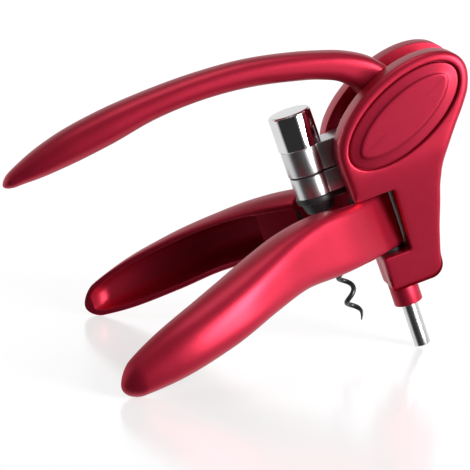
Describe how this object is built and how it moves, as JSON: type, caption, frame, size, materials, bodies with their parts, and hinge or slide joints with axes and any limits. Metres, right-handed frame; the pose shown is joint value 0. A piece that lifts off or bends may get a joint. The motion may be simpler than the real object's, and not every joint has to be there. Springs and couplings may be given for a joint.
{
  "type": "lever corkscrew",
  "caption": "Lever corkscrew with a lacquered lever geared to a sliding worm carriage, and two hinged grips that clamp the bottle neck",
  "frame": {"origin": "under the middle of the tool as it stands on a table, at the height of the table", "axes": "+Z is the table's normal. +X runs from the tips of the grips towards the head, so the lever and the grips reach towards -X. The left side is at -Y."},
  "size_m": [0.2164, 0.1696, 0.1467],
  "materials": {
    "red_lacquer": "satin metallic red lacquer on moulded nylon",
    "badge_red": "satin dark red lacquer",
    "black_rubber": "matt black rubber",
    "black_nylon": "matt black nylon",
    "polished_chrome": "polished chrome",
    "satin_chrome": "satin chrome on die-cast zinc",
    "bright_steel": "ground and polished steel",
    "gear_steel": "sintered steel",
    "black_steel": "black non-stick coated steel",
    "bronze": "sintered bronze",
    "dark_screw": "blackened steel"
  },
  "bodies": {
    "frame": {"left_frame": "red_lacquer", "right_frame": "red_lacquer", "left_badge": "badge_red", "right_badge": "badge_red", "frame_screws": "dark_screw", "pivot_pin": "bright_steel", "pivot_clip": "bright_steel", "rod_bush": "bronze", "hinge_sleeve": "bright_steel", "hinge_washers": "black_nylon", "nut_carrier": "satin_chrome", "carrier_set_screw": "dark_screw", "nut": "black_nylon", "nut_pin": "bright_steel", "nut_screws": "dark_screw", "spacer_plate": "black_nylon"},
    "lever_arm": {"lever": "red_lacquer", "lever_bushes": "bronze", "gear_sector": "gear_steel", "gear_rivets": "bright_steel"},
    "lift_carriage": {"guide_rod": "bright_steel", "carriage": "satin_chrome", "carriage_pin": "bright_steel", "spindle_bearing": "black_nylon", "cap": "polished_chrome"},
    "worm_spindle": {"worm": "black_steel", "spindle_collar": "bright_steel"},
    "left_clamp": {"left_grip": "red_lacquer", "left_jaw_pad": "black_rubber"},
    "right_clamp": {"right_grip": "red_lacquer", "right_jaw_pad": "black_rubber"}
  },
  "joints": [
    {"name": "lever_swing", "type": "hinge", "parent": "frame", "child": "lever_arm", "pos_m": [0.07915, 0, 0.11509], "axis": [0, 1, 0], "range_deg": [0, 160]},
    {"name": "carriage_slide", "type": "slide", "parent": "frame", "child": "lift_carriage", "axis": [-0.3384, 0, 0.941], "range_m": [0, 0.0559]},
    {"name": "worm_spin", "type": "hinge", "parent": "lift_carriage", "child": "worm_spindle", "pos_m": [0.03453, 0, 0.09585], "axis": [-0.3384, 0, 0.941], "range_deg": [0, 1547]},
    {"name": "left_grip_swing", "type": "hinge", "parent": "frame", "child": "left_clamp", "pos_m": [0.07625, 0, 0.05666], "axis": [0.3384, 0, -0.941], "range_deg": [0, 27.5]},
    {"name": "right_grip_swing", "type": "hinge", "parent": "frame", "child": "right_clamp", "pos_m": [0.07152, 0, 0.06983], "axis": [-0.3384, 0, 0.941], "range_deg": [0, 27.5]}
  ],
  "couplings": [
    {"joint": "carriage_slide", "follows": "lever_swing", "m_per_rad": 0.02},
    {"joint": "worm_spin", "follows": "lever_swing", "ratio": 9.6664}
  ]
}
